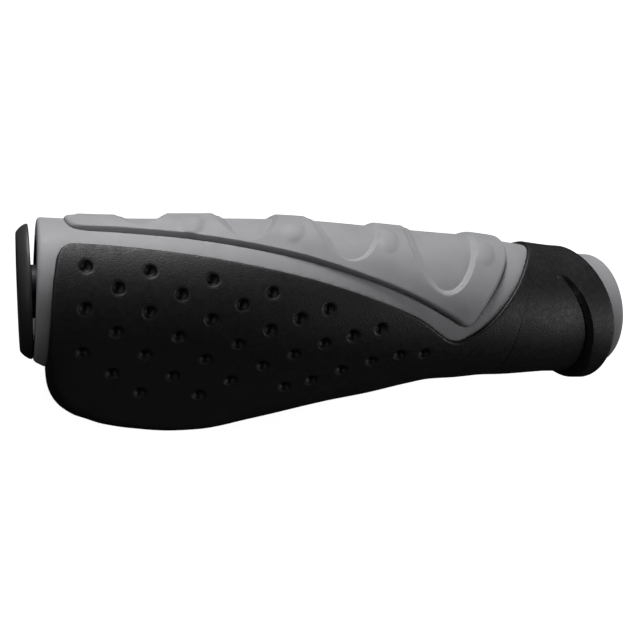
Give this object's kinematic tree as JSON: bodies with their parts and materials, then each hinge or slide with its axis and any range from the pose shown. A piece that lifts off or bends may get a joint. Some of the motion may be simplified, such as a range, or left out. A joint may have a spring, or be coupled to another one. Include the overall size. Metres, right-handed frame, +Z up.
{
  "type": "bicycle handlebar grip",
  "caption": "Ergonomic handlebar grip: grey rubber over a stiff sleeve, black dimpled palm wing, wavy finger panel, flared collar and pull-out end plug.",
  "frame": {"origin": "on the handlebar's axis at the inner end face of the grip", "axes": "+X along the bore towards the middle of the handlebar, +Y forward to the fingers, +Z up; the palm wing reaches back along -Y"},
  "size_m": [0.1355, 0.0466, 0.0352],
  "materials": {
    "grey_rubber": "matt, fine moulded grain",
    "black_rubber": "satin, fine moulded grain",
    "stiff_plastic": "plain moulded",
    "soft_gel": "soft and slightly glossy",
    "plug_plastic": "satin moulded"
  },
  "bodies": {
    "grip": {"core_sleeve": "stiff_plastic", "base_layer": "grey_rubber", "palm_pad": "black_rubber", "palm_cushion": "soft_gel", "inner_collar": "black_rubber", "finger_panel": "grey_rubber"},
    "plug": {"end_plug": "plug_plastic"}
  },
  "joints": [
    {"name": "plug_slide", "type": "slide", "parent": "grip", "child": "plug", "axis": [-1, 0, 0], "range_m": [0, 0.026]}
  ]
}
